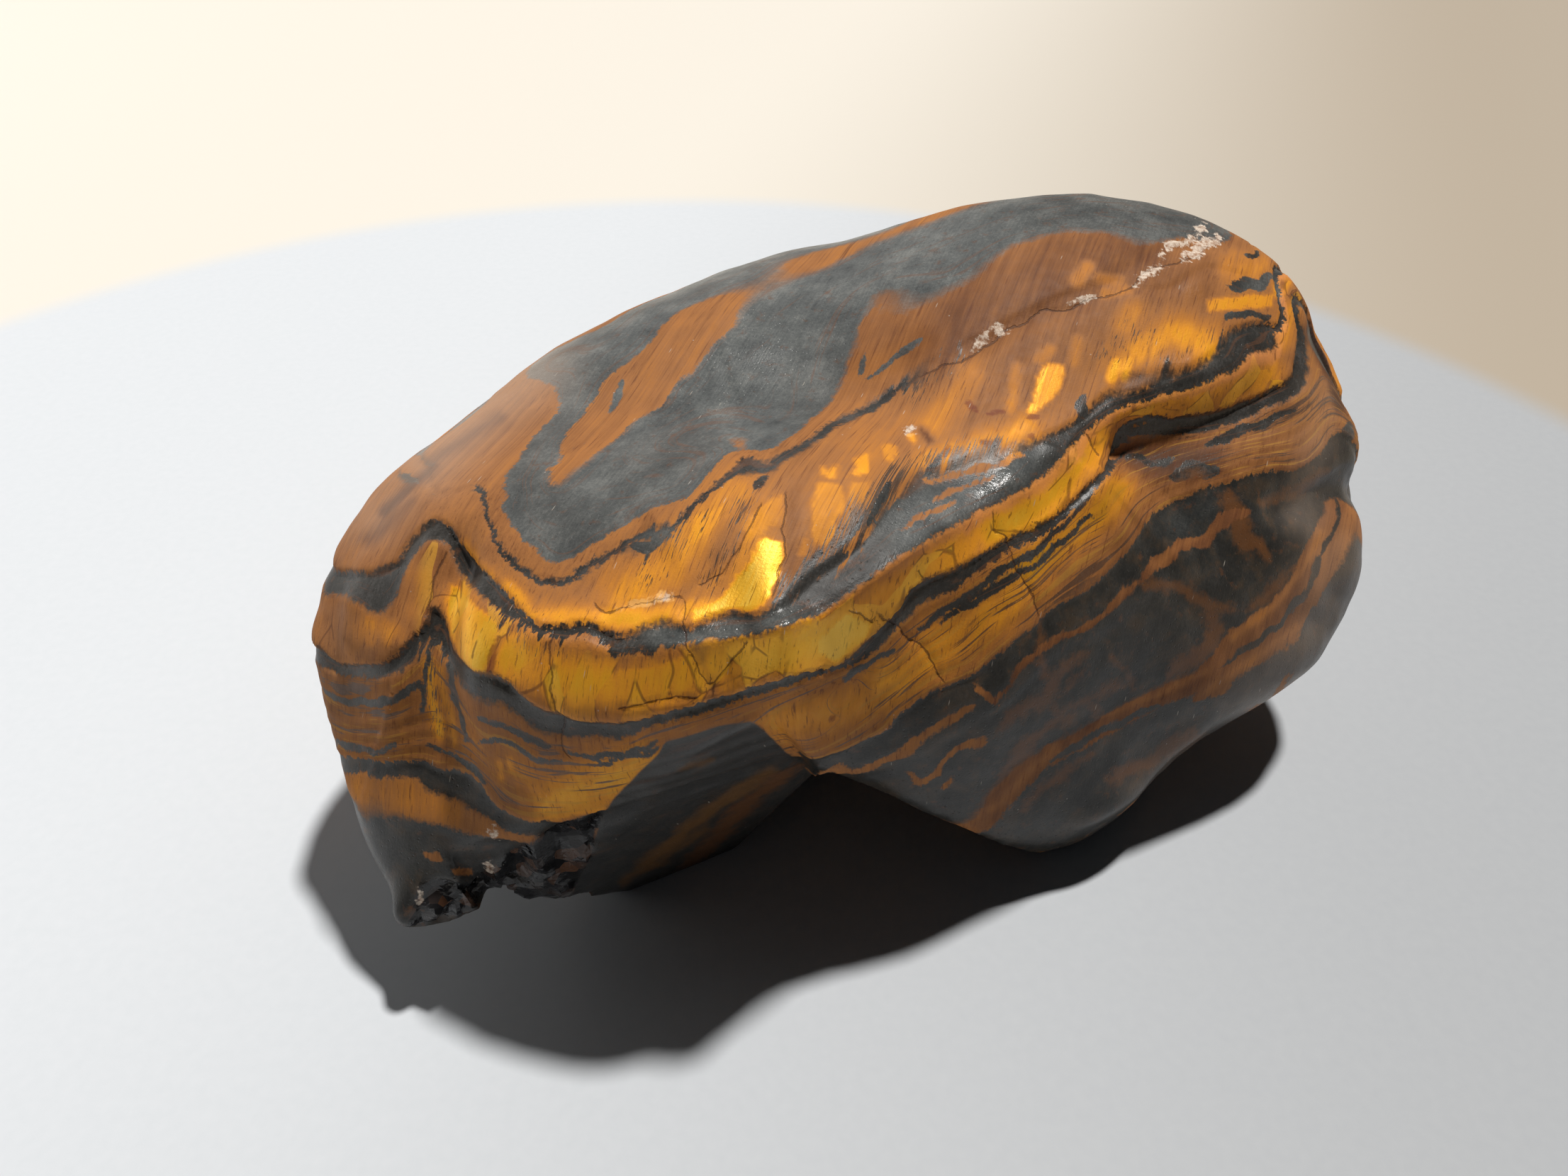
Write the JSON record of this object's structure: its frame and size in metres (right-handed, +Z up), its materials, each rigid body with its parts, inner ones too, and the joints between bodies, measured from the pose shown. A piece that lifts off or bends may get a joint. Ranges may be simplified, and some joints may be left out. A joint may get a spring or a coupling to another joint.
{
  "type": "viewing stone",
  "caption": "Polished lump of banded natural rock with a deep notch at its front, worn flat where it rests, shown on its own as a viewing stone.",
  "frame": {"origin": "middle of the bottom of the stone's box, on the surface that it rests on", "axes": "+Z up; +X along the length of the stone, towards its thick end; the front, with the notch, faces -Y"},
  "size_m": [0.0994, 0.0714, 0.0496],
  "materials": {
    "tiger_iron": "satin"
  },
  "bodies": {
    "root": {"stone": "tiger_iron"}
  },
  "joints": []
}
